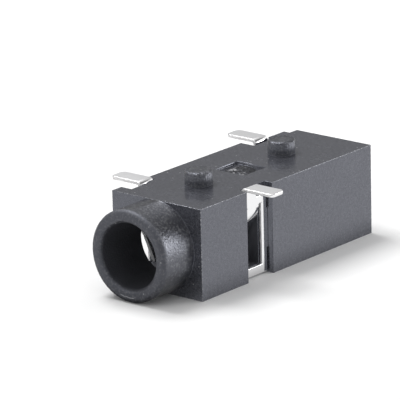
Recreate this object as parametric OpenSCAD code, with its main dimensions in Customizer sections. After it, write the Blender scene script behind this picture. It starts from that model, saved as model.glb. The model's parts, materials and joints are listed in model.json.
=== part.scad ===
// Surface-mount 3.5 mm audio jack, three contacts, seen with its board side up.
// Origin on the plug axis at the housing's front shoulder; the plug goes in along +Y.

/* [Housing] */
// Length of the rectangular body, from the shoulder to the rear face
body_length = 14.5; // [14:0.1:18]
// Width of the body
body_width = 6.0; // [5.6:0.1:7]
// Height of the body, from the resting face to the board face
body_height = 5.0; // [4.8:0.1:6]
// Diameter of the round nose
nose_d = 5.0; // [4.4:0.1:5.6]
// Length of the nose in front of the shoulder
nose_length = 2.4; // [1.5:0.1:3]
// Rounding of the nose's front edge
nose_edge = 0.26; // [0.05:0.01:0.35]

/* [Plug bore] */
// Diameter of the plug that goes in
plug_d = 3.5; // [3.3:0.05:3.6]
// Length of the plug, from its shoulder to its tip
plug_length = 14.0; // [13.5:0.1:14.5]
// Gap around the plug
plug_clearance = 0.05; // [0.02:0.01:0.1]
// Gap past the plug's tip
plug_end_gap = 0.2; // [0.1:0.05:0.5]
// Chamfer of the bore's mouth
mouth_chamfer = 0.2; // [0.1:0.02:0.3]

/* [Locating pegs] */
// Diameter of both pegs
peg_d = 1.5; // [1:0.1:2]
// Height of the pegs above the board face
peg_height = 0.8; // [0.5:0.1:1.4]
// Distance of the front peg from the shoulder
peg_y = 3.5; // [3:0.1:4]
// Distance between the pegs
peg_pitch = 7.0; // [6.4:0.1:8]
// Chamfer of the pegs' top edge
peg_chamfer = 0.1; // [0.05:0.05:0.3]

/* [Gate recess] */
// Length of the recess along the body
gate_length = 1.9; // [1:0.1:2.4]
// Width of the recess
gate_width = 2.0; // [1:0.1:2.4]
// Depth of the recess
gate_depth = 0.16; // [0.08:0.02:0.3]
// Diameter of the broken gate's stub on the recess floor
gate_stub_d = 0.8; // [0.4:0.1:1]
// Height of the stub, which stays below the board face
gate_stub_height = 0.07; // [0.02:0.01:0.08]

/* [Terminal slots] */
// Where the sleeve slot starts behind the shoulder
sleeve_slot_y = 0.75; // [0.6:0.05:0.9]
// Depth of the sleeve slot from the side face
sleeve_slot_depth = 0.7; // [0.6:0.05:0.8]
// Where the ring slot starts behind the shoulder
ring_slot_y = 3.8; // [3.5:0.1:4.5]
// Length of the sleeve and ring slots
slot_length = 2.1; // [2:0.05:2.4]
// Where the tip slot starts behind the shoulder
tip_slot_y = 10.75; // [10.4:0.05:11]
// Length of the tip slot
tip_slot_length = 3.1; // [2.8:0.1:3.3]
// Depth of the tip slot from the side face
tip_slot_depth = 0.92; // [0.8:0.02:1]
// How far the post behind the tip slot stays below the board face
tip_post_drop = 0.5; // [0.3:0.1:1]

/* [Terminals] */
// Thickness of the stamped sheet
sheet = 0.2; // [0.15:0.01:0.25]
// Distance of the terminals' outer faces inside the side faces
plate_inset = 0.32; // [0.25:0.01:0.4]
// Height of the bar at the foot of each terminal
bottom_bar = 0.5; // [0.3:0.05:0.7]
// Width of the upright strip beside each tongue
strip_width = 0.41; // [0.3:0.01:0.5]
// Gap between the strip and the tongue
slit = 0.2; // [0.1:0.01:0.25]
// Distance of the terminals' top edges below the board face
plate_drop = 0.6; // [0.5:0.05:0.8]
// Gap kept at the resting face and at the slots' rear walls
seat_gap = 0.1; // [0.05:0.01:0.15]
// Height of the barb that grips the slot's rear wall
barb_height = 2.2; // [1.5:0.1:2.6]

/* [Solder feet] */
// Width of the feet
foot_width = 1.1; // [0.8:0.05:1.3]
// How far the feet reach past the side faces
foot_reach = 1.6; // [1:0.1:2]
// How far the feet stand above the board face
foot_lift = 0.1; // [0.02:0.01:0.15]
// Rounding of the feet's outer corners
foot_corner = 0.3; // [0.1:0.05:0.45]
// Inner radius of the bend between plate and foot
foot_bend = 0.08; // [0.05:0.01:0.15]
// Distance of the tip foot behind the start of its slot
tip_foot_offset = 0.63; // [0.4:0.05:0.9]

/* [Spring contacts] */
// How far the contacts stand inside the bore
contact_reach = 0.2; // [0.1:0.02:0.24]
// Gap between a contact and the window that it works in
window_gap = 0.1; // [0.05:0.01:0.15]
// Distance of a window's front wall behind the front wall of its slot
window_step = 0.1; // [0.05:0.01:0.15]

/* [Sleeve and ring tongues] */
// Width of the tongues
tongue_width = 1.0; // [0.8:0.05:1.1]
// Height of the tongues' roots above the plug axis
root_rise = 1.45; // [1.3:0.05:1.6]
// Depth of the tongues' free ends below the plug axis
lead_drop = 1.4; // [1.2:0.05:1.5]
// Radius of the bend at a tongue's root
root_bend = 1.5; // [1:0.05:1.6]
// Slope of a tongue below its root, in degrees
root_slope = 36; // [34:1:42]
// Radius of the bend back towards the upright
lead_bend = 0.6; // [0.4:0.05:0.8]
// Slope of a tongue where it lies along the plug, in degrees
lead_slope = 25; // [20:1:28]

/* [Tip arm] */
// Width of the arm
arm_width = 1.2; // [0.8:0.1:1.4]
// Radius of the bend at the arm's root
arm_bend = 0.6; // [0.4:0.05:0.8]
// Slope of the arm between its two bends, in degrees
arm_slope = 48; // [40:1:55]
// Radius of the bend at the arm's contact point
crown_bend = 1.0; // [0.7:0.05:1.1]
// Slope of the arm's free end, in degrees
tip_slope = 35; // [20:1:45]
// Straight length of the free end
tip_run = 0.2; // [0.1:0.05:0.3]

/* [Hidden] */
$fn = 64;
cut = 1;
// Straight runs of formed sheet lap over the bends by this much, and are this much fuller
weld_lap = 0.02;
weld_skin = 0.001;

plastic = [0.07, 0.07, 0.08];
plating = [0.82, 0.82, 0.83];

side = body_width / 2;
board_z = body_height / 2;
rest_z = -body_height / 2;

bore_r = plug_d / 2 + plug_clearance;
bore_end_y = plug_length + plug_end_gap - nose_length;
gate_y = peg_y + peg_pitch / 2;

plate_outer_x = side - plate_inset;
plate_inner_x = plate_outer_x - sheet;
plate_mid_x = plate_outer_x - sheet / 2;
plate_top_z = board_z - plate_drop;
plate_bottom_z = rest_z + seat_gap;
frame_bottom_z = plate_bottom_z + bottom_bar;
tip_slot_end = tip_slot_y + tip_slot_length;

foot_top_z = board_z + foot_lift;
foot_outer_x = side + foot_reach;
neck_top_z = foot_top_z - sheet - foot_bend;

// Distance of a contact's centre line from the plug axis where it touches the plug
touch_r = bore_r - contact_reach + sheet / 2;

// A tongue's centre line bends in from the plate, ramps down, bends back and lies along the
// plug. Without its ramp it would pass the plug axis at lead_r, so the ramp makes up the rest.
least_run = 0.05;
lead_turn = root_slope - lead_slope;
lead_r = plate_mid_x * cos(lead_slope) - root_rise * sin(lead_slope)
    + root_bend * (cos(lead_turn) - cos(lead_slope)) - lead_bend * (1 - cos(lead_turn));
ramp_run = max(least_run, (lead_r - touch_r) / sin(lead_turn));
lead_z = root_rise - root_bend * sin(root_slope) - ramp_run * cos(root_slope)
    - lead_bend * (sin(root_slope) - sin(lead_slope));
lead_run = max(least_run, (lead_z + lead_drop) / cos(lead_slope));
tongue_path = [
    [0, 0],
    [root_slope, root_bend],
    [0, ramp_run],
    [-lead_turn, lead_bend],
    [0, lead_run]
];

// The arm's centre line bends in from the plate, ramps to its crown on the plug and turns away
crown_depth = plate_mid_x - touch_r - (arm_bend + crown_bend) * (1 - cos(arm_slope));
arm_run = max(least_run, crown_depth / sin(arm_slope));
arm_travel = (arm_bend + crown_bend) * sin(arm_slope) + arm_run * cos(arm_slope)
    + crown_bend * sin(tip_slope) + tip_run * cos(tip_slope);
arm_path = [
    [0, 0],
    [arm_slope, arm_bend],
    [0, arm_run],
    [-arm_slope - tip_slope, crown_bend],
    [0, tip_run]
];

// Y of a sleeve or ring tongue's front edge, for a slot that starts at slot_y
function tongue_y(slot_y) =
    slot_y + slot_length - seat_gap - strip_width - slit - tongue_width;

sleeve_land_y = tongue_y(sleeve_slot_y) + tongue_width + slit;
tip_land_y = tip_slot_y + tip_foot_offset + foot_width;

// Part of a flat ring between two angles, for bent sheet seen on edge
module arc_band(radius, from, to) {
    reach = 2 * (radius + sheet);
    middle = (from + to) / 2;
    intersection() {
        difference() {
            circle(radius + sheet / 2);
            circle(radius - sheet / 2);
        }
        polygon([
            [0, 0],
            reach * [cos(from), sin(from)],
            reach * [cos(middle), sin(middle)],
            reach * [cos(to), sin(to)]
        ]);
    }
}

// A strip of sheet, swept from +Z along a list of [turn, radius] bends, which turn towards +Y
// where positive, and [0, length] runs. Runs are a shade fuller and lap over the bends.
module formed_strip(width, path, step = 0) {
    if (step < len(path)) {
        turn = path[step][0];
        size = path[step][1];
        hand = sign(turn);
        if (turn == 0)
            translate([0, 0, -weld_lap])
                linear_extrude(size + 2 * weld_lap)
                    square([width + 2 * weld_skin, sheet + 2 * weld_skin], center = true);
        else
            translate([0, hand * size, 0])
                rotate([90, 0, -90 * hand])
                    rotate_extrude(angle = abs(turn))
                        translate([size, 0])
                            square([sheet, width], center = true);
        translate([0, hand * size, turn == 0 ? size : 0])
            rotate([-turn, 0, 0])
                translate([0, -hand * size, 0])
                    formed_strip(width, path, step + 1);
    }
}

// Flat sheet in the plate's plane, drawn as Y across and Z up, on the +X side
module plate_sheet() {
    translate([plate_inner_x, 0, 0])
        rotate([90, 0, 90])
            linear_extrude(sheet) children();
}

// Solder foot that rises from the plate and turns outwards, from foot_y along Y
module solder_foot(foot_y) {
    plate_sheet()
        translate([foot_y, plate_top_z])
            square([foot_width, neck_top_z - plate_top_z]);
    bend_x = plate_outer_x + foot_bend;
    translate([bend_x, foot_y + foot_width, neck_top_z])
        rotate([90, 0, 0])
            linear_extrude(foot_width)
                arc_band(foot_bend + sheet / 2, 90, 180);
    reach = foot_outer_x - bend_x;
    translate([bend_x, foot_y, foot_top_z - sheet])
        linear_extrude(sheet) {
            square([reach - foot_corner, foot_width]);
            translate([0, foot_corner])
                square([reach, foot_width - 2 * foot_corner]);
            for (corner_y = [foot_corner, foot_width - foot_corner])
                translate([reach - foot_corner, corner_y])
                    circle(foot_corner);
        }
}

// Outline of a plate that fills a slot, with a barb on its rear edge
module plate_outline(slot_y, length) {
    translate([slot_y, plate_bottom_z])
        square([length - seat_gap, plate_top_z - plate_bottom_z]);
    translate([slot_y + length / 2, -barb_height / 2])
        square([length / 2, barb_height]);
}

// Sleeve or ring terminal: an open frame with a spring tongue hanging from its top bar
module tongue_terminal(slot_y, foot_y) {
    tongue_start = tongue_y(slot_y);
    tongue_end = tongue_start + tongue_width;
    plate_sheet()
        difference() {
            plate_outline(slot_y, slot_length);
            translate([slot_y - cut, frame_bottom_z])
                square([tongue_end + slit - slot_y + cut, root_rise - frame_bottom_z]);
        }
    translate([plate_mid_x, (tongue_start + tongue_end) / 2, root_rise])
        rotate([180, 0, -90])
            formed_strip(tongue_width, tongue_path);
    solder_foot(foot_y);
}

// Tip terminal: a plain plate with an arm that runs forward from its front edge
module arm_terminal(slot_y, foot_y) {
    plate_sheet()
        plate_outline(slot_y, tip_slot_length);
    translate([plate_mid_x, slot_y, 0])
        rotate([90, -90, 0])
            formed_strip(arm_width, arm_path);
    solder_foot(foot_y);
}

// Nose with a rounded front edge, reaching back into the body
module nose() {
    nose_r = nose_d / 2;
    rotate([90, 0, 0])
        rotate_extrude() {
            translate([0, -cut]) square([nose_r, nose_length - nose_edge + cut]);
            square([nose_r - nose_edge, nose_length]);
            translate([nose_r - nose_edge, nose_length - nose_edge]) circle(nose_edge);
        }
}

// Space that the plug goes into
module plug_space() {
    rotate([90, 0, 0])
        rotate_extrude()
            polygon([
                [0, -bore_end_y],
                [bore_r, -bore_end_y],
                [bore_r, nose_length - mouth_chamfer],
                [bore_r + mouth_chamfer, nose_length],
                [bore_r + mouth_chamfer, nose_length + cut],
                [0, nose_length + cut]
            ]);
}

// Locating peg on the board face
module peg() {
    peg_r = peg_d / 2;
    translate([0, 0, board_z])
        rotate_extrude()
            polygon([
                [0, -gate_depth],
                [peg_r, -gate_depth],
                [peg_r, peg_height - peg_chamfer],
                [peg_r - peg_chamfer, peg_height],
                [0, peg_height]
            ]);
}

// Upright slot in the +X side, open at the board face and the resting face. From land_y
// on, its floor rises to the terminal's plate.
module slot_space(slot_y, length, depth, land_y) {
    height = body_height + 2 * cut;
    translate([side - depth, slot_y, rest_z - cut])
        cube([depth + cut, land_y - slot_y, height]);
    translate([plate_inner_x, slot_y, rest_z - cut])
        cube([side - plate_inner_x + cut, length, height]);
}

// Opening from a slot into the bore for a hanging tongue, as low as the terminal's own frame
module tongue_window(slot_y) {
    inner_x = bore_r / 2;
    front_y = slot_y + window_step;
    length = tongue_y(slot_y) + tongue_width + window_gap - front_y;
    translate([inner_x, front_y, frame_bottom_z])
        cube([plate_inner_x - inner_x, length, root_rise + window_gap - frame_bottom_z]);
}

// Pocket in front of the tip slot for the tip arm
module arm_pocket(slot_y) {
    height = arm_width + 2 * window_gap;
    length = arm_travel + window_gap;
    translate([0, slot_y - length, -height / 2])
        cube([plate_outer_x + window_gap, length + cut, height]);
}

module housing() {
    color(plastic)
    difference() {
        union() {
            difference() {
                translate([-side, 0, rest_z]) cube([body_width, body_length, body_height]);
                translate([-gate_width / 2, gate_y - gate_length / 2, board_z - gate_depth])
                    cube([gate_width, gate_length, gate_depth + cut]);
            }
            translate([0, gate_y, board_z - gate_depth])
                cylinder(h = gate_stub_height, d = gate_stub_d);
            nose();
            for (y = [peg_y, peg_y + peg_pitch])
                translate([0, y, 0]) peg();
        }
        plug_space();
        slot_space(ring_slot_y, slot_length, side - plate_inner_x, ring_slot_y + slot_length);
        tongue_window(ring_slot_y);
        mirror([1, 0, 0]) {
            slot_space(sleeve_slot_y, slot_length, sleeve_slot_depth, sleeve_land_y);
            tongue_window(sleeve_slot_y);
            slot_space(tip_slot_y, tip_slot_length, tip_slot_depth, tip_land_y);
            arm_pocket(tip_slot_y);
            translate([side - tip_slot_depth, tip_slot_end, board_z - tip_post_drop])
                cube([tip_slot_depth + cut, body_length, tip_post_drop + cut]);
        }
    }
}

module sleeve_terminal() {
    color(plating)
    mirror([1, 0, 0])
        tongue_terminal(sleeve_slot_y, sleeve_slot_y + slot_length - seat_gap / 2 - foot_width);
}

module tip_terminal() {
    color(plating)
    mirror([1, 0, 0])
        arm_terminal(tip_slot_y, tip_slot_y + tip_foot_offset);
}

module ring_terminal() {
    color(plating)
    tongue_terminal(ring_slot_y, ring_slot_y + seat_gap);
}

housing();
sleeve_terminal();
tip_terminal();
ring_terminal();
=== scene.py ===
"""Looks of a surface-mount audio jack: a black moulded housing with three plated spring terminals.

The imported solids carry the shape. This script gives them edges, finishes, light and a camera.
Finishes and the torn gate are worked out in millimetres, and the rest in metres.
"""
import json
import math
from types import SimpleNamespace

import bpy
from mathutils import Matrix, Vector, noise


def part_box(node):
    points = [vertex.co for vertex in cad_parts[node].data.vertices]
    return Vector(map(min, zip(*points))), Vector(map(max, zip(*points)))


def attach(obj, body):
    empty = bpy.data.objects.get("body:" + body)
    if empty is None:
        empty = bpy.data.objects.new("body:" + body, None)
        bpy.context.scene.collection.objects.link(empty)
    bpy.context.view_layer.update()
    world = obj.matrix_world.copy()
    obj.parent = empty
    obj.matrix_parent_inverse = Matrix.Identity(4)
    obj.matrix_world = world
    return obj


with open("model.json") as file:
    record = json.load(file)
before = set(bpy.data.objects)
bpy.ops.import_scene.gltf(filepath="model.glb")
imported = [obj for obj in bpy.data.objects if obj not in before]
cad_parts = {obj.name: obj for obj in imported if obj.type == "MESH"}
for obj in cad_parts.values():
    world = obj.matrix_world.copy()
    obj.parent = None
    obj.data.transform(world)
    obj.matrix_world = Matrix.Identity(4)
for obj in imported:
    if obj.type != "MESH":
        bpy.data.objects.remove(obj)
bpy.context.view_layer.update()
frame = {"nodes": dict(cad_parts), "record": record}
nodes = frame["nodes"]
mounts = {mount["name"]: mount for mount in frame["record"]["mounts"]}
housing_low, housing_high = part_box("housing")
middle = Vector((0, housing_high.y / 2, 0))

MM = 0.001
WHITE = (1, 1, 1, 1)

# Decimals that a length from the frame keeps in millimetres.
TO_MICRONS = 3

# The housing in millimetres, from the frame.
HALF_WIDTH = round(housing_high.x / MM, TO_MICRONS)
HALF_HEIGHT = round(-housing_low.z / MM, TO_MICRONS)
BODY_LENGTH = round(housing_high.y / MM, TO_MICRONS)
NOSE_LENGTH = round(-housing_low.y / MM, TO_MICRONS)
BORE_RADIUS = mounts["plug_bore"]["dims"]["r_mm"]

# The torn gate in its recess, halfway between the pegs, in millimetres.
GATE_Y = (mounts["front_peg"]["pos_m"][1] + mounts["rear_peg"]["pos_m"][1]) / 2 / MM
GATE_DEPTH = 0.16
GATE_FLOOR = HALF_HEIGHT - GATE_DEPTH
SCAR_X = -0.02
SCAR_RADIUS = 0.84
SCAR_HEIGHT = 0.10
SCAR_SUNK = 0.005
SCAR_BELOW_FACE = 0.01
SCAR_SHOULDER = 4
SCAR_RINGS = 10
SCAR_SPOKES = 40

# The scar's uneven outline, then its tears: height in millimetres, waves, and a place in the noise.
SCAR_OUTLINE = (0.34, 1.5, 5.0)
SCAR_TEARS = ((0.05, 4, 1.0), (0.03, 10, 2.0))

# The camera, fitted to the corners of the housing.
PX_ACROSS = 400
SENSOR_MM = 36.0
CAMERA_AZIMUTH = math.radians(39.846)
CAMERA_ELEVATION = math.radians(17.090)
CAMERA_ROLL = math.radians(-1.367)
CAMERA_DISTANCE = 208.58 * MM
CAMERA_FOCAL_PX = 3908.7
CAMERA_AIM_RIGHT = -2.374 * MM
CAMERA_AIM_UP = 0.635 * MM
CLIP_TIMES = 100

# Edges of the moulding and of the stamped sheet.
HOUSING_EDGE = 0.018 * MM
SHEET_EDGE = 0.05 * MM
EDGE_STEPS = 2
SHARP_ANGLE = math.radians(60)
FLAT_ANGLE = math.radians(0.5)
WELD_DISTANCE = 0.003 * MM
LARGE_FACES_FIRST = 100

# Colours, in linear light, and how the plastic reflects.
PLASTIC = (0.026, 0.027, 0.033, 1)
PLASTIC_MOTTLE = (0.060, 0.061, 0.070, 1)
PLASTIC_GRAINY = (0.005, 0.005, 0.006, 1)
# Painted shade and light inside the bore and windows: near black at the mouth, this paler tone deeper in.
PLASTIC_INSIDE_PAINTED_LIGHT = (0.036, 0.036, 0.039, 1)
# Pale flecks of the grain, partly painted glints.
PLASTIC_FLECK_GLINT = (0.09, 0.09, 0.091, 1)
# Pale for dust, and for the painted highlights on the edges and on the rim's flash.
PLASTIC_PALE = (0.40, 0.40, 0.41, 1)
# The colour of a painted highlight on one side of the torn gate.
PLASTIC_TORN_HIGHLIGHT = (0.36, 0.36, 0.37, 1)
PLASTIC_SHEEN = (0.84, 0.87, 1.0, 1)
PLASTIC_IOR = 2.1
TORN_IOR = 1.5
TIN = (0.93, 0.93, 0.94, 1)
BARE_EDGE = (0.70, 0.62, 0.52, 1)
FLOOR_WHITE = (0.86, 0.86, 0.86, 1)

# A band runs from where a zone starts to where it is full. Zones of the moulding, in millimetres.
NOSE_Y_BAND = (0.0, -0.05)
PEG_ABOVE_FACE_BAND = (0.01, 0.05)
PEG_TOP_ABOVE_FACE_BAND = (0.2, 0.55)
CORNER_ABOVE_FACE_BANDS = ((0.002, 0.004), (0.06, 0.03))
RIM_BEHIND_TIP_BAND = (0.4, 0.2)
BORE_PAST_WALL_BAND = (0.03, 0.01)
LIP_PAST_WALL_BAND = (0.26, 0.08)
LIP_Y_BAND = (0.0, -0.5)
WINDOW_X_BAND = (2.46, 2.44)
WINDOW_Z_BAND = (2.0, 1.9)
WINDOW_Y_BAND = (0.02, 0.1)
BEFORE_REAR_BAND = (0.05, 0.1)
# Where the painted light inside the bore and windows is palest.
INSIDE_PALEST_Y = 0.5

# Noise: waves in a millimetre, octaves, and how strong the finer octaves stay where that is set.
GRAIN_NOISE = (9.0, 2.0, 0.6)
FLECK_NOISE = (7.5, 3.0, 0.65)
MOTTLE_NOISE = (6.0, 4.0, 0.7)
SHEEN_NOISE = (1.2, 4.0)
WEAR_AND_HIGHLIGHT_NOISE = (8.0, 3.0)
FLASH_NOISE = (3.0, 3.0)
TORN_HIGHLIGHT_NOISE = (4.0, 3.0)
TORN_NOISE = (12.0, 2.0)
TIN_NOISE = (4.0, 4.0)
CUT_NOISE = (30.0, 2.0)
MIDDLE_OF_NOISE = (0.35, 0.65)
FLECKS_IN_NOISE = (0.48, 0.66)
WEAR_AND_HIGHLIGHT_IN_NOISE = (0.46, 0.62)
TORN_HIGHLIGHT_IN_NOISE = (0.53, 0.68)

# Roughness of the finishes. Two values are the ends of a range.
SMOOTH_ROUGH = (0.14, 0.28)
NOSE_ROUGH = 0.32
RIM_ROUGH = 0.62
PEG_FOOT_ROUGH = 0.85
LIP_ROUGH = 0.7
INSIDE_ROUGH = 0.7
TORN_ROUGH = (0.4, 0.6)
UPRIGHT_TIN_ROUGH = (0.05, 0.10)
TOP_TIN_ROUGH = (0.39, 0.42)
CUT_EDGE_ROUGH = 0.5

# Relief of the finishes: its depth, and the share of it that each zone has.
GRAIN_DEPTH = 0.06 * MM
SMOOTH_RELIEF = 0.005
NOSE_RELIEF = 0.4
PEG_RELIEF = 1.0
TORN_DEPTH = 0.03 * MM
TORN_RELIEF = 1.0
CUT_DEPTH = 0.04 * MM
TIN_FACE_RELIEF = 0.01
CUT_RELIEF = 1.0

# Flecks, edge lines, dust and flash: how strong they are, and their places in millimetres. The flecks are
# partly painted glints, the edge line is painted highlight and wear, and the flash line is a painted
# highlight.
PEG_FOOT_SHADED_FLECKS = 0.6
RIM_FLECKS = 0.6
WEAR_AND_HIGHLIGHT_SHARE = 0.65
WEAR_AND_HIGHLIGHT_REACH = 0.05
WEAR_AND_HIGHLIGHT_FULL = 0.02
WEAR_AND_HIGHLIGHT_STOP = 0.01
DUST_SHARE = 0.55
DUST_SPACING = 0.45
DUST_CELLS = 0.36
DUST_SIZE = 0.05
FLASH_HIGHLIGHT_SHARE = 0.6
FLASH_RADIUS = 2.17
FLASH_WANDER = 0.10
FLASH_WIDTH_BAND = (0.03, 0.01)
FLASH_LEFT_BAND = (-0.60, -0.45)
FLASH_RIGHT_BAND = (0.45, 0.30)
FLASH_LOW_BAND = (0.0, -1.0)
FLASH_BEHIND_TIP_BAND = (0.05, 0.03)

# Where the torn gate gets a painted highlight: its noise is shifted, and a band past the gate's middle ends
# it.
TORN_HIGHLIGHT_SHIFT = (0.76, 0.63, 0.0)
TORN_HIGHLIGHT_WAY = (0.77, 0.64, 0.0)
TORN_HIGHLIGHT_BAND = (0.40, 0.15)

# The plated sheet, by the way that its faces point.
CUT_EDGE_BAND = (0.75, 0.95)
ROLLED_TOP_BAND = (0.6, 0.9)
BARE_MOST = 0.15
CUT_EDGE_METAL = 0.2

# The floor: its reach in metres, its mirrored light, which has a painted shadow near the part and under the
# nose, and that light's zones in millimetres.
FLOOR_REACH = 1.0
FLOOR_SHADOW_UNDER_NOSE = 0.10
FLOOR_SHADOW_NEAR = 0.36
FLOOR_MIRRORED = 0.98
AWAY_BAND = (-0.8, 2.5)
BESIDE_NOSE_BAND = (1.2, 2.8)
BEFORE_NOSE_BAND = (-2.6, -3.8)
UNDER_BODY_BAND = (-0.2, 0.6)

# The room's light, and bands in the direction from which it comes.
HORIZON_BEHIND = 0.21
HORIZON_LEFT = 1.0
HORIZON_RIGHT = 1.1
HORIZON_AT_CAMERA = 0.20
ZENITH_LEVEL = 0.76
ZENITH_RIGHT = 0.19
SHOWN_LEVEL = 1.0
BACK_TO_LEFT_BAND = (-0.5, 0.2)
SKY_BAND = (0.0, 1.0)
ROOM_WINDOW_BAND = (0.35, 0.60)
RIGHT_BAND = (0.30, 0.60)
AT_CAMERA_BAND = (0.70, 0.95)

# The two softboxes, in metres.
LAMP_DISTANCE = 0.12
KEY_AZIMUTH = math.radians(-90)
KEY_ELEVATION = math.radians(66)
KEY_SIZE = 0.055
KEY_RADIANCE = 11.0
SIDE_AZIMUTH = math.radians(139)
SIDE_ELEVATION = math.radians(11)
SIDE_SIZE = 0.056
SIDE_RADIANCE = 4.6

# A mix node has two inputs and an output for each kind of value, at these places.
MIX_SOCKETS = {"FLOAT": (2, 3, 0), "RGBA": (6, 7, 2)}


def direction(azimuth, elevation):
    """A unit vector. The azimuth turns from the plug's side, -Y, towards +X."""
    level = math.cos(elevation)
    return Vector((math.sin(azimuth) * level, -math.cos(azimuth) * level, math.sin(elevation)))


def make_camera(centre):
    """A camera at the photograph's viewing angle, aimed beside the middle of the housing."""
    back = direction(CAMERA_AZIMUTH, CAMERA_ELEVATION)
    right = (-back).cross(Vector((0, 0, 1))).normalized()
    up = right.cross(-back)
    turn = Matrix.Rotation(CAMERA_ROLL, 3, back)
    right, up = turn @ right, turn @ up
    data = bpy.data.cameras.new("camera")
    data.sensor_width = SENSOR_MM
    data.lens = CAMERA_FOCAL_PX / PX_ACROSS * SENSOR_MM
    data.clip_start = CAMERA_DISTANCE / CLIP_TIMES
    data.clip_end = CAMERA_DISTANCE * CLIP_TIMES
    camera = bpy.data.objects.new("camera", data)
    camera.matrix_world = Matrix((right, up, back)).transposed().to_4x4()
    camera.location = centre + right * CAMERA_AIM_RIGHT + up * CAMERA_AIM_UP + back * CAMERA_DISTANCE
    bpy.context.scene.collection.objects.link(camera)
    bpy.context.scene.camera = camera


class Shader:
    """Short calls that build one node tree."""

    def __init__(self, tree):
        self.tree = tree
        tree.nodes.clear()

    def put(self, socket, value):
        """Links a socket to an output, or sets it, or leaves it as it is for None."""
        if isinstance(value, bpy.types.NodeSocket):
            self.tree.links.new(value, socket)
        elif value is not None:
            socket.default_value = value

    def add(self, kind, *inputs, out=0, **settings):
        """A node with its inputs set or linked in order; returns an output, by number or name."""
        made = self.tree.nodes.new(kind)
        for name, value in settings.items():
            setattr(made, name, value)
        for socket, value in zip(made.inputs, inputs):
            self.put(socket, value)
        return made.outputs[out] if made.outputs else made

    def math(self, operation, *inputs):
        return self.add("ShaderNodeMath", *inputs, operation=operation)

    def minus(self, first, second):
        return self.math("SUBTRACT", first, second)

    def unsigned(self, value):
        return self.math("ABSOLUTE", value)

    def times(self, first, *others):
        """The product of all the numbers."""
        for other in others:
            first = self.math("MULTIPLY", first, other)
        return first

    def most(self, first, *others):
        """The largest of the numbers."""
        for other in others:
            first = self.math("MAXIMUM", first, other)
        return first

    def axes(self, vector):
        """The x, y and z of a vector."""
        made = self.tree.nodes.new("ShaderNodeSeparateXYZ")
        self.put(made.inputs[0], vector)
        return made.outputs

    def along(self, vector, way):
        """How far a vector goes along a given way."""
        return self.add("ShaderNodeVectorMath", vector, way, out="Value", operation="DOT_PRODUCT")

    def ramp(self, value, low, high):
        """0 below low and 1 above high, smooth between them; falls instead where low is the larger."""
        made = self.tree.nodes.new("ShaderNodeMapRange")
        made.interpolation_type = "SMOOTHSTEP"
        self.put(made.inputs["Value"], value)
        falls = low > high
        made.inputs["From Min"].default_value = min(low, high)
        made.inputs["From Max"].default_value = max(low, high)
        made.inputs["To Min"].default_value = float(falls)
        made.inputs["To Max"].default_value = float(not falls)
        return made.outputs["Result"]

    def mix(self, kind, share, first, second):
        """A value between two of a kind, by a share from 0 to 1."""
        made = self.tree.nodes.new("ShaderNodeMix")
        made.data_type = kind
        first_input, second_input, result = MIX_SOCKETS[kind]
        self.put(made.inputs[0], share)
        self.put(made.inputs[first_input], first)
        self.put(made.inputs[second_input], second)
        return made.outputs[result]

    def blend(self, share, first, second):
        """A number between two, by a share from 0 to 1."""
        return self.mix("FLOAT", share, first, second)

    def tint(self, share, first, second):
        """A colour between two, by a share from 0 to 1."""
        return self.mix("RGBA", share, first, second)

    def millimetres(self):
        """The place on the part, in its own frame, in millimetres."""
        place = self.add("ShaderNodeTexCoord", out="Object")
        return self.add("ShaderNodeVectorMath", place, None, None, 1 / MM, operation="SCALE")

    def noise(self, place, scale, detail, roughness=0.55):
        made = self.tree.nodes.new("ShaderNodeTexNoise")
        self.put(made.inputs["Vector"], place)
        made.inputs["Scale"].default_value = scale
        made.inputs["Detail"].default_value = detail
        made.inputs["Roughness"].default_value = roughness
        return made.outputs[0]

    def bump(self, height, distance, strength):
        made = self.tree.nodes.new("ShaderNodeBump")
        made.inputs["Distance"].default_value = distance
        self.put(made.inputs["Strength"], strength)
        self.put(made.inputs["Height"], height)
        return made.outputs[0]

    def principled(self, **inputs):
        """The surface of the material, with spaces in input names written as underscores."""
        made = self.tree.nodes.new("ShaderNodeBsdfPrincipled")
        for name, value in inputs.items():
            self.put(made.inputs[name.replace("_", " ")], value)
        self.add("ShaderNodeOutputMaterial", made.outputs[0])


def new_material(name):
    """An empty material, and the calls that fill it."""
    material = bpy.data.materials.new(name)
    material.use_nodes = True
    return material, Shader(material.node_tree)


def moulding_zones(s, place):
    """Coordinates, and masks from 0 to 1 for the parts of the moulding with a finish of their own."""
    x, y, z = s.axes(place)
    radius = s.math("SQRT", s.math("ADD", s.times(x, x), s.times(z, z)))
    above_face = s.minus(z, HALF_HEIGHT)
    past_wall = s.minus(radius, BORE_RADIUS)
    behind_tip = s.math("ADD", y, NOSE_LENGTH)
    nose = s.ramp(y, *NOSE_Y_BAND)
    peg = s.ramp(above_face, *PEG_ABOVE_FACE_BAND)
    windows = s.times(s.ramp(s.unsigned(x), *WINDOW_X_BAND), s.ramp(s.unsigned(z), *WINDOW_Z_BAND),
                      s.ramp(y, *WINDOW_Y_BAND))
    hollow = s.most(windows, s.ramp(past_wall, *BORE_PAST_WALL_BAND))
    return SimpleNamespace(
        x=x, y=y, z=z, radius=radius, behind_tip=behind_tip, peg=peg,
        grainy=s.most(nose, peg),
        coarse=s.most(nose, s.ramp(above_face, *PEG_TOP_ABOVE_FACE_BAND)),
        corner=s.times(*(s.ramp(above_face, *band) for band in CORNER_ABOVE_FACE_BANDS)),
        rim=s.ramp(behind_tip, *RIM_BEHIND_TIP_BAND),
        lip=s.times(s.ramp(past_wall, *LIP_PAST_WALL_BAND), s.ramp(y, *LIP_Y_BAND)),
        inside=s.times(hollow, s.ramp(s.minus(BODY_LENGTH, y), *BEFORE_REAR_BAND)))


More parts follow.
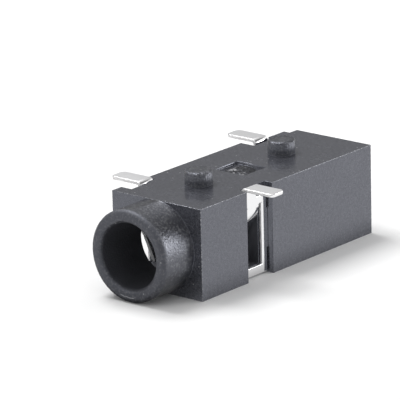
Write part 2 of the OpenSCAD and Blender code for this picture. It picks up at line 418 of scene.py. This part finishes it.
def edge_wear_and_highlight(s, place, zones):
    """A broken pale line along the body's outer edges: painted highlight where they catch light, and wear.
    """
    side = s.ramp(s.unsigned(zones.x), HALF_WIDTH - WEAR_AND_HIGHLIGHT_REACH, HALF_WIDTH - WEAR_AND_HIGHLIGHT_FULL)
    top = s.ramp(zones.z, HALF_HEIGHT - WEAR_AND_HIGHLIGHT_REACH, HALF_HEIGHT - WEAR_AND_HIGHLIGHT_FULL)
    rear = s.ramp(zones.y, BODY_LENGTH - WEAR_AND_HIGHLIGHT_REACH, BODY_LENGTH - WEAR_AND_HIGHLIGHT_FULL)
    front = s.times(s.ramp(zones.y, WEAR_AND_HIGHLIGHT_REACH, WEAR_AND_HIGHLIGHT_FULL), s.ramp(zones.y, -WEAR_AND_HIGHLIGHT_FULL, -WEAR_AND_HIGHLIGHT_STOP))
    pairs = ((side, top), (side, front), (front, top), (side, rear), (top, rear))
    edge = s.most(*(s.times(one, other) for one, other in pairs))
    return s.times(edge, s.ramp(s.noise(place, *WEAR_AND_HIGHLIGHT_NOISE), *WEAR_AND_HIGHLIGHT_IN_NOISE))


def dust(s, place):
    """Pale specks in some of the cells of a loose grid."""
    cells = s.tree.nodes.new("ShaderNodeTexVoronoi")
    s.put(cells.inputs["Vector"], place)
    cells.inputs["Scale"].default_value = 1 / DUST_SPACING
    pick = s.math("LESS_THAN", s.add("ShaderNodeSeparateColor", cells.outputs["Color"]), DUST_CELLS)
    reach = DUST_SIZE / DUST_SPACING
    return s.times(s.ramp(cells.outputs["Distance"], reach, reach / 2), pick)


def rim_flash_highlight(s, place, zones):
    """A thin pale line low on the nose's rim: a painted highlight along a ridge of flash."""
    wavy = s.math("ADD", zones.radius, s.times(s.noise(place, *FLASH_NOISE), FLASH_WANDER))
    off_line = s.unsigned(s.minus(wavy, FLASH_RADIUS + FLASH_WANDER / 2))
    return s.times(s.ramp(off_line, *FLASH_WIDTH_BAND), s.ramp(zones.x, *FLASH_LEFT_BAND),
                   s.ramp(zones.x, *FLASH_RIGHT_BAND), s.ramp(zones.z, *FLASH_LOW_BAND),
                   s.ramp(zones.behind_tip, *FLASH_BEHIND_TIP_BAND))


def moulding_colour(s, place, zones):
    """Mottled faces and a darker grain with flecks that are partly painted glints, fewer on the pegs' feet
    as painted shade; over them dust, a pale edge line of painted highlight and wear, and a painted
    highlight on the rim's flash; painted shade and light inside the bore and windows.
    """
    # The flecks are partly painted glints, and fewer on the pegs' feet as painted shade.
    fleck_glint = s.times(s.ramp(s.noise(place, *FLECK_NOISE), *FLECKS_IN_NOISE),
                    s.blend(zones.coarse, PEG_FOOT_SHADED_FLECKS, 1.0),
                    s.blend(zones.rim, zones.grainy, RIM_FLECKS))
    # Pale marks: dust, a painted highlight along the edges that is partly wear, and a painted highlight on
    # the rim's flash.
    pale = s.most(s.times(edge_wear_and_highlight(s, place, zones), WEAR_AND_HIGHLIGHT_SHARE), s.times(dust(s, place), DUST_SHARE),
                  s.times(rim_flash_highlight(s, place, zones), FLASH_HIGHLIGHT_SHARE))
    smooth = s.tint(s.ramp(s.noise(place, *MOTTLE_NOISE), *MIDDLE_OF_NOISE), PLASTIC, PLASTIC_MOTTLE)
    outside = s.tint(fleck_glint, s.tint(zones.grainy, smooth, PLASTIC_GRAINY), PLASTIC_FLECK_GLINT)
    outside = s.tint(pale, outside, PLASTIC_PALE)
    # Painted shade and light in the bore and windows: darkest at the mouth, paler deeper in.
    bore_painted_shade_and_light = s.tint(s.ramp(zones.y, -NOSE_LENGTH, INSIDE_PALEST_Y), PLASTIC_GRAINY, PLASTIC_INSIDE_PAINTED_LIGHT)
    return s.tint(zones.inside, outside, bore_painted_shade_and_light)


def moulding_roughness(s, place, zones):
    """Satin on the smooth faces and the nose, dull on the rim, the pegs' feet and inside."""
    smooth = s.blend(s.ramp(s.noise(place, *SHEEN_NOISE), *MIDDLE_OF_NOISE), *SMOOTH_ROUGH)
    grain = s.blend(zones.coarse, PEG_FOOT_ROUGH, s.blend(zones.rim, NOSE_ROUGH, RIM_ROUGH))
    outside = s.most(s.blend(zones.grainy, smooth, grain), zones.corner, s.times(zones.lip, LIP_ROUGH))
    return s.blend(zones.inside, outside, INSIDE_ROUGH)


def plastic_material():
    """Black moulding: smooth top and sides, grainy nose and pegs with flecks partly painted as glints,
    edges with painted highlight and wear, pale dust, and painted shade inside the bore.
    """
    material, s = new_material("moulded_plastic")
    place = s.millimetres()
    zones = moulding_zones(s, place)
    relief = s.blend(zones.grainy, SMOOTH_RELIEF, s.blend(zones.peg, NOSE_RELIEF, PEG_RELIEF))
    s.principled(Base_Color=moulding_colour(s, place, zones), Roughness=moulding_roughness(s, place, zones),
                 IOR=PLASTIC_IOR, Specular_Tint=PLASTIC_SHEEN,
                 Normal=s.bump(s.noise(place, *GRAIN_NOISE), GRAIN_DEPTH, relief))
    return material


def torn_material():
    """Plastic that was torn, not moulded: uneven, with a painted highlight on one side of the mound."""
    material, s = new_material("torn_plastic")
    place = s.millimetres()
    shifted = s.add("ShaderNodeVectorMath", place, TORN_HIGHLIGHT_SHIFT, operation="ADD")
    past_middle = s.minus(s.along(place, TORN_HIGHLIGHT_WAY), TORN_HIGHLIGHT_WAY[1] * GATE_Y)
    # Painted highlight on one side of the torn mound, where its torn edges would catch light.
    torn_highlight = s.times(s.ramp(s.noise(shifted, *TORN_HIGHLIGHT_NOISE), *TORN_HIGHLIGHT_IN_NOISE),
                        s.ramp(past_middle, *TORN_HIGHLIGHT_BAND))
    s.principled(Base_Color=s.tint(torn_highlight, PLASTIC_GRAINY, PLASTIC_TORN_HIGHLIGHT), IOR=TORN_IOR,
                 Roughness=s.blend(torn_highlight, *TORN_ROUGH), Specular_Tint=PLASTIC_SHEEN,
                 Normal=s.bump(s.noise(place, *TORN_NOISE), TORN_DEPTH, TORN_RELIEF))
    return material


def tin_material():
    """Bright tin plate over rolled sheet, duller and a little bare on the cut edges."""
    material, s = new_material("tin_plate")
    place = s.millimetres()
    _, lengthwise, upwards = s.axes(s.add("ShaderNodeTexCoord", out="Normal"))
    cut_edge = s.ramp(s.unsigned(lengthwise), *CUT_EDGE_BAND)
    rolled_top = s.ramp(upwards, *ROLLED_TOP_BAND)
    mottle = s.noise(place, *TIN_NOISE)
    bare = s.times(cut_edge, s.blend(mottle, 0.0, BARE_MOST))
    face_rough = s.blend(rolled_top, s.blend(mottle, *UPRIGHT_TIN_ROUGH), s.blend(mottle, *TOP_TIN_ROUGH))
    relief = s.blend(cut_edge, TIN_FACE_RELIEF, CUT_RELIEF)
    s.principled(Base_Color=s.tint(bare, TIN, BARE_EDGE), Metallic=s.blend(cut_edge, 1.0, CUT_EDGE_METAL),
                 Roughness=s.blend(cut_edge, face_rough, CUT_EDGE_ROUGH),
                 Normal=s.bump(s.noise(place, *CUT_NOISE), CUT_DEPTH, relief))
    return material


def floor_material():
    """White paper, which glossy surfaces mirror as evenly lit, with a painted shadow close to the part and
    darker under the nose.
    """
    material, s = new_material("pale_floor")
    x, y, _ = s.axes(s.millimetres())
    from_middle = s.minus(y, (BODY_LENGTH - NOSE_LENGTH) / 2)
    past_side = s.minus(s.unsigned(x), HALF_WIDTH)
    past_end = s.minus(s.unsigned(from_middle), (BODY_LENGTH + NOSE_LENGTH) / 2)
    away = s.ramp(s.most(past_side, past_end), *AWAY_BAND)
    clear = s.most(s.ramp(s.unsigned(x), *BESIDE_NOSE_BAND), s.ramp(y, *BEFORE_NOSE_BAND),
                   s.ramp(y, *UNDER_BODY_BAND))
    # Painted shadow in the floor's mirrored light: darkest under the nose, grey close to the part.
    level = s.blend(clear, FLOOR_SHADOW_UNDER_NOSE, s.blend(away, FLOOR_SHADOW_NEAR, FLOOR_MIRRORED))
    paper = s.add("ShaderNodeBsdfDiffuse", FLOOR_WHITE)
    mirrored = s.add("ShaderNodeEmission", WHITE, level)
    glossy = s.add("ShaderNodeLightPath", out="Is Glossy Ray")
    s.add("ShaderNodeOutputMaterial", s.add("ShaderNodeMixShader", glossy, paper, mirrored))
    return material


def soften_edges(node, width):
    """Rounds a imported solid's sharp edges with modifiers, so that they catch light."""
    weld = node.modifiers.new("weld", "WELD")
    weld.merge_threshold = WELD_DISTANCE
    flat = node.modifiers.new("flat", "DECIMATE")
    flat.decimate_type = "DISSOLVE"
    flat.angle_limit = FLAT_ANGLE
    edge = node.modifiers.new("edge", "BEVEL")
    edge.width = width
    edge.segments = EDGE_STEPS
    edge.limit_method = "ANGLE"
    edge.angle_limit = SHARP_ANGLE
    edge.use_clamp_overlap = False
    normals = node.modifiers.new("normals", "WEIGHTED_NORMAL")
    normals.mode = "FACE_AREA"
    normals.weight = LARGE_FACES_FIRST


def dress(node, material, width):
    """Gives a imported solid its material, smooth shading and soft edges."""
    node.data.materials.clear()
    node.data.materials.append(material)
    for face in node.data.polygons:
        face.use_smooth = True
    soften_edges(node, width)


def add_piece(name, points, faces, material):
    """A piece of the moulding that only shows, from points in millimetres."""
    mesh = bpy.data.meshes.new(name)
    mesh.from_pydata([tuple(c * MM for c in p) for p in points], [], faces)
    mesh.materials.append(material)
    piece = bpy.data.objects.new(name, mesh)
    bpy.context.scene.collection.objects.link(piece)
    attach(piece, "root")


def uneven(x, y, pattern):
    """A height from noise, for a pattern of height, waves and a place in the noise."""
    height, waves, place = pattern
    return height * noise.noise((waves * x, waves * y, place))


def scar_point(share, angle):
    """A point of the scar, at a share of its uneven radius."""
    c, n = math.cos(angle), math.sin(angle)
    reach = SCAR_RADIUS + uneven(c, n, SCAR_OUTLINE)
    x, y = SCAR_X + reach * share * c, GATE_Y + reach * share * n
    torn = sum(uneven(x, y, tear) for tear in SCAR_TEARS)
    rise = (SCAR_HEIGHT + torn) * (1 - share ** SCAR_SHOULDER)
    return x, y, min(GATE_FLOOR + rise - SCAR_SUNK, HALF_HEIGHT - SCAR_BELOW_FACE)


def gate_scar(material):
    """A low torn mound where the gate broke off, in the recess between the pegs."""
    points = [(SCAR_X, GATE_Y, GATE_FLOOR + SCAR_HEIGHT)]
    rows = []
    for ring in range(1, SCAR_RINGS + 1):
        rows.append(range(len(points), len(points) + SCAR_SPOKES))
        points += [scar_point(ring / SCAR_RINGS, 2 * math.pi * spoke / SCAR_SPOKES)
                   for spoke in range(SCAR_SPOKES)]
    faces = [(0, rows[0][k - 1], rows[0][k]) for k in range(SCAR_SPOKES)]
    for inner, outer in zip(rows, rows[1:]):
        faces += [(inner[k - 1], outer[k - 1], outer[k], inner[k]) for k in range(SCAR_SPOKES)]
    faces.append(tuple(reversed(rows[-1])))
    add_piece("gate_scar", points, faces, material)


def make_floor(height):
    """A flat sheet of paper under the part."""
    corners = [(-1, -1), (1, -1), (1, 1), (-1, 1)]
    mesh = bpy.data.meshes.new("floor")
    mesh.from_pydata([(x * FLOOR_REACH, y * FLOOR_REACH, height) for x, y in corners], [], [(0, 1, 2, 3)])
    mesh.materials.append(floor_material())
    floor = bpy.data.objects.new("floor", mesh)
    bpy.context.scene.collection.objects.link(floor)


def make_world(towards_camera, rightwards):
    """A room with light overhead, a low window on the right and a dim back, which the camera sees white."""
    world = bpy.data.worlds.new("studio")
    bpy.context.scene.world = world
    world.use_nodes = True
    s = Shader(world.node_tree)
    way = s.add("ShaderNodeTexCoord", out="Generated")
    height = s.axes(way)[2]
    nearness = s.along(way, towards_camera)
    horizon = s.blend(s.ramp(nearness, *BACK_TO_LEFT_BAND), HORIZON_BEHIND, HORIZON_LEFT)
    left = s.blend(s.ramp(height, *SKY_BAND), horizon, ZENITH_LEVEL)
    right = s.blend(s.ramp(height, *ROOM_WINDOW_BAND), HORIZON_RIGHT, ZENITH_RIGHT)
    level = s.blend(s.ramp(s.along(way, rightwards), *RIGHT_BAND), left, right)
    level = s.blend(s.ramp(nearness, *AT_CAMERA_BAND), level, HORIZON_AT_CAMERA)
    shown = s.add("ShaderNodeLightPath", out="Is Camera Ray")
    back = s.add("ShaderNodeBackground", WHITE, s.blend(shown, level, SHOWN_LEVEL))
    s.add("ShaderNodeOutputWorld", back)


def make_lamp(name, centre, azimuth, elevation, size, radiance):
    """A square softbox that faces the part."""
    data = bpy.data.lights.new(name, "AREA")
    data.size = size
    data.energy = radiance * math.pi * size * size
    lamp = bpy.data.objects.new(name, data)
    out = direction(azimuth, elevation)
    lamp.location = centre + out * LAMP_DISTANCE
    lamp.rotation_mode = "QUATERNION"
    lamp.rotation_quaternion = out.to_track_quat("Z", "Y")
    bpy.context.scene.collection.objects.link(lamp)


bpy.context.scene.view_settings.view_transform = "Standard"
make_camera(middle)
make_world(direction(CAMERA_AZIMUTH, 0), direction(CAMERA_AZIMUTH + math.pi / 2, 0))
make_floor(housing_low.z)
make_lamp("key", middle, KEY_AZIMUTH, KEY_ELEVATION, KEY_SIZE, KEY_RADIANCE)
make_lamp("side", middle, SIDE_AZIMUTH, SIDE_ELEVATION, SIDE_SIZE, SIDE_RADIANCE)

dress(nodes["housing"], plastic_material(), HOUSING_EDGE)
tin = tin_material()
for name in ("sleeve_terminal", "tip_terminal", "ring_terminal"):
    dress(nodes[name], tin, SHEET_EDGE)
gate_scar(torn_material())
